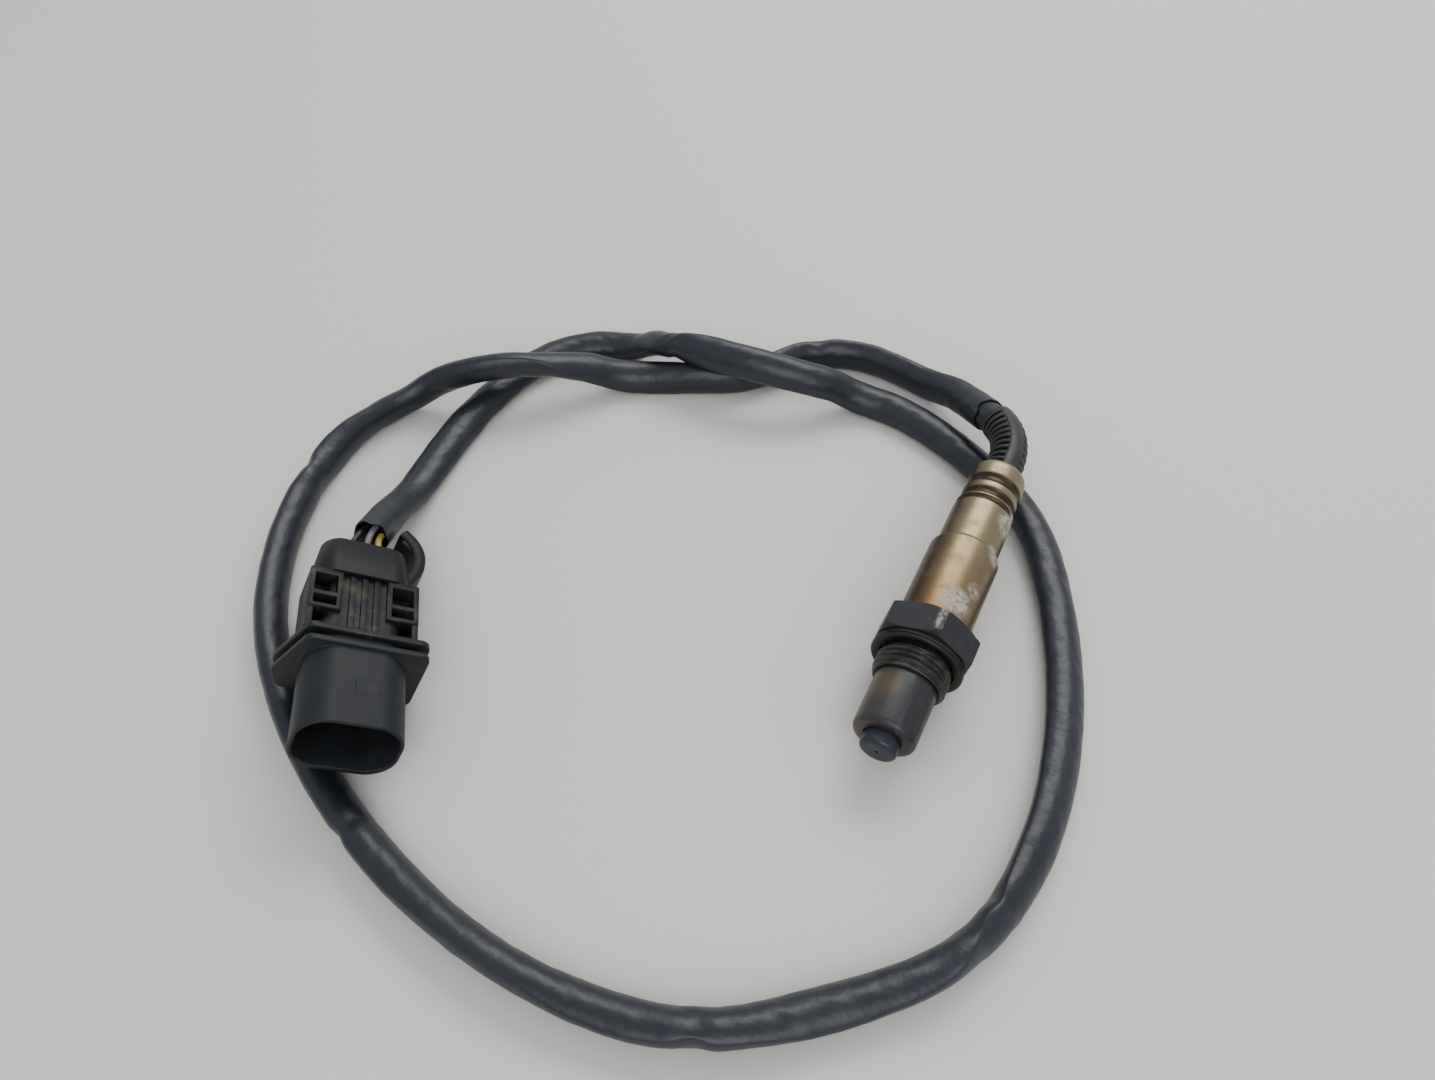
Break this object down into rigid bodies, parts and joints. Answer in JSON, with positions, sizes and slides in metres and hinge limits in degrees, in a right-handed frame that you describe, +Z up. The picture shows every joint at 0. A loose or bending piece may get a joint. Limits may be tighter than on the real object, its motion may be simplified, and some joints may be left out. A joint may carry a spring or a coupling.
{
  "type": "oxygen sensor",
  "caption": "Wideband oxygen sensor lying down: hexagon body with threaded shank and slotted tube, stepped steel shell, ribbed boot, long looped cable and a flanged multi-way plug.",
  "frame": {"origin": "middle of the metal head, at the floor it lies on", "axes": "+Z up; +Y along the head seen from above, from its tip towards the boot; the head lies 4 degrees nose-down"},
  "size_m": [0.2203, 0.2188, 0.0285],
  "materials": {
    "hex_steel": "black satin",
    "gasket_steel": "dark satin",
    "tube_steel": "heat-darkened satin",
    "nub_steel": "blue-black",
    "shell_steel": "heat-tinted satin",
    "spring_steel": "bright",
    "element_ceramic": "matte",
    "bush_ceramic": "matte",
    "talc": "pressed powder",
    "contact_metal": "bright",
    "grommet_rubber": "matte",
    "boot_rubber": "satin",
    "sleeve_plastic": "satin",
    "housing_plastic": "satin",
    "cap_plastic": "satin",
    "lock_plastic": "matte",
    "mat_rubber": "matte",
    "terminal_brass": "tinned",
    "resistor_ceramic": "matte",
    "lead_black": "satin",
    "lead_white": "satin",
    "lead_yellow": "satin",
    "lead_grey": "satin",
    "lead_red": "satin"
  },
  "bodies": {
    "root": {"hex_body": "hex_steel", "sealing_gasket": "gasket_steel", "outer_protection_tube": "tube_steel", "inner_protection_tube": "nub_steel", "sensor_element": "element_ceramic", "lower_ceramic_bush": "bush_ceramic", "seal_powder_ring": "talc", "upper_ceramic_bush": "bush_ceramic", "bush_cap_ring": "spring_steel", "sensor_shell": "shell_steel", "contact_holder_upper": "bush_ceramic", "contact_holder_lower": "bush_ceramic", "holder_clamp_ring": "spring_steel", "wire_grommet": "grommet_rubber", "corrugated_boot": "boot_rubber", "cable_sleeve": "sleeve_plastic", "connector_housing": "housing_plastic", "latch_body": "housing_plastic", "terminal_carrier": "lock_plastic", "terminal_lock": "lock_plastic", "rear_seal_mat": "mat_rubber", "rear_cap": "cap_plastic", "trim_resistor": "resistor_ceramic", "contact_strip_1": "contact_metal", "head_lead_1": "lead_black", "plug_lead_1": "lead_black", "contact_strip_2": "contact_metal", "head_lead_2": "lead_white", "plug_lead_2": "lead_white", "contact_strip_3": "contact_metal", "head_lead_3": "lead_yellow", "plug_lead_3": "lead_yellow", "contact_strip_4": "contact_metal", "head_lead_4": "lead_grey", "plug_lead_4": "lead_grey", "contact_strip_5": "contact_metal", "head_lead_5": "lead_red", "plug_lead_5": "lead_red", "pin_terminal_1": "terminal_brass", "pin_terminal_2": "terminal_brass", "pin_terminal_3": "terminal_brass", "pin_terminal_4": "terminal_brass", "pin_terminal_5": "terminal_brass", "pin_terminal_6": "terminal_brass"}
  },
  "joints": []
}
